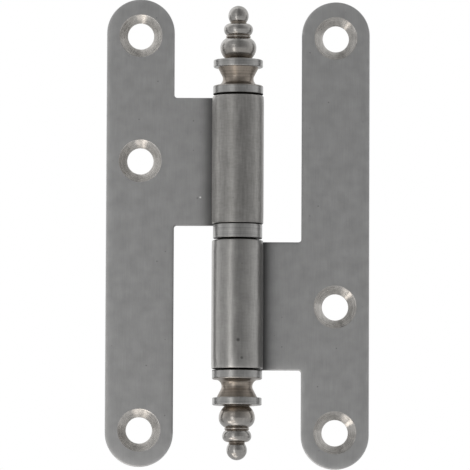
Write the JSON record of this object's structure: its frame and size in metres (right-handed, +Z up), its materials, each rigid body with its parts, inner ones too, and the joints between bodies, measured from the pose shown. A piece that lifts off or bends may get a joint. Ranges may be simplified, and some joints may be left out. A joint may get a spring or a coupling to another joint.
{
  "type": "lift-off door hinge",
  "caption": "Lift-off door hinge in satin stainless steel: round-ended leaves with rolled knuckles on a fixed pin, a loose friction ring and turned finials.",
  "frame": {"origin": "on the pin's axis, half-way between the facing ends of the two knuckles", "axes": "+Z up along the pin, +X towards the frame leaf, -Y out of the countersunk faces of the open leaves"},
  "size_m": [0.0562, 0.011, 0.1004],
  "materials": {
    "leaf": "satin, brushed along the leaf",
    "turned": "satin, turned",
    "pin": "ground"
  },
  "bodies": {
    "frame_half": {"frame_leaf": "leaf", "hinge_pin": "pin", "lower_finial": "turned"},
    "ring": {"friction_ring": "turned"},
    "door_half": {"door_leaf": "leaf", "upper_finial": "turned"}
  },
  "joints": [
    {"name": "door_swing", "type": "hinge", "parent": "frame_half", "child": "ring", "pos_m": [0, 0, 0], "axis": [0, 0, 1], "range_deg": [-90, 180]},
    {"name": "lift_off", "type": "slide", "parent": "ring", "child": "door_half", "axis": [0, 0, 1], "range_m": [0, 0.022]}
  ]
}
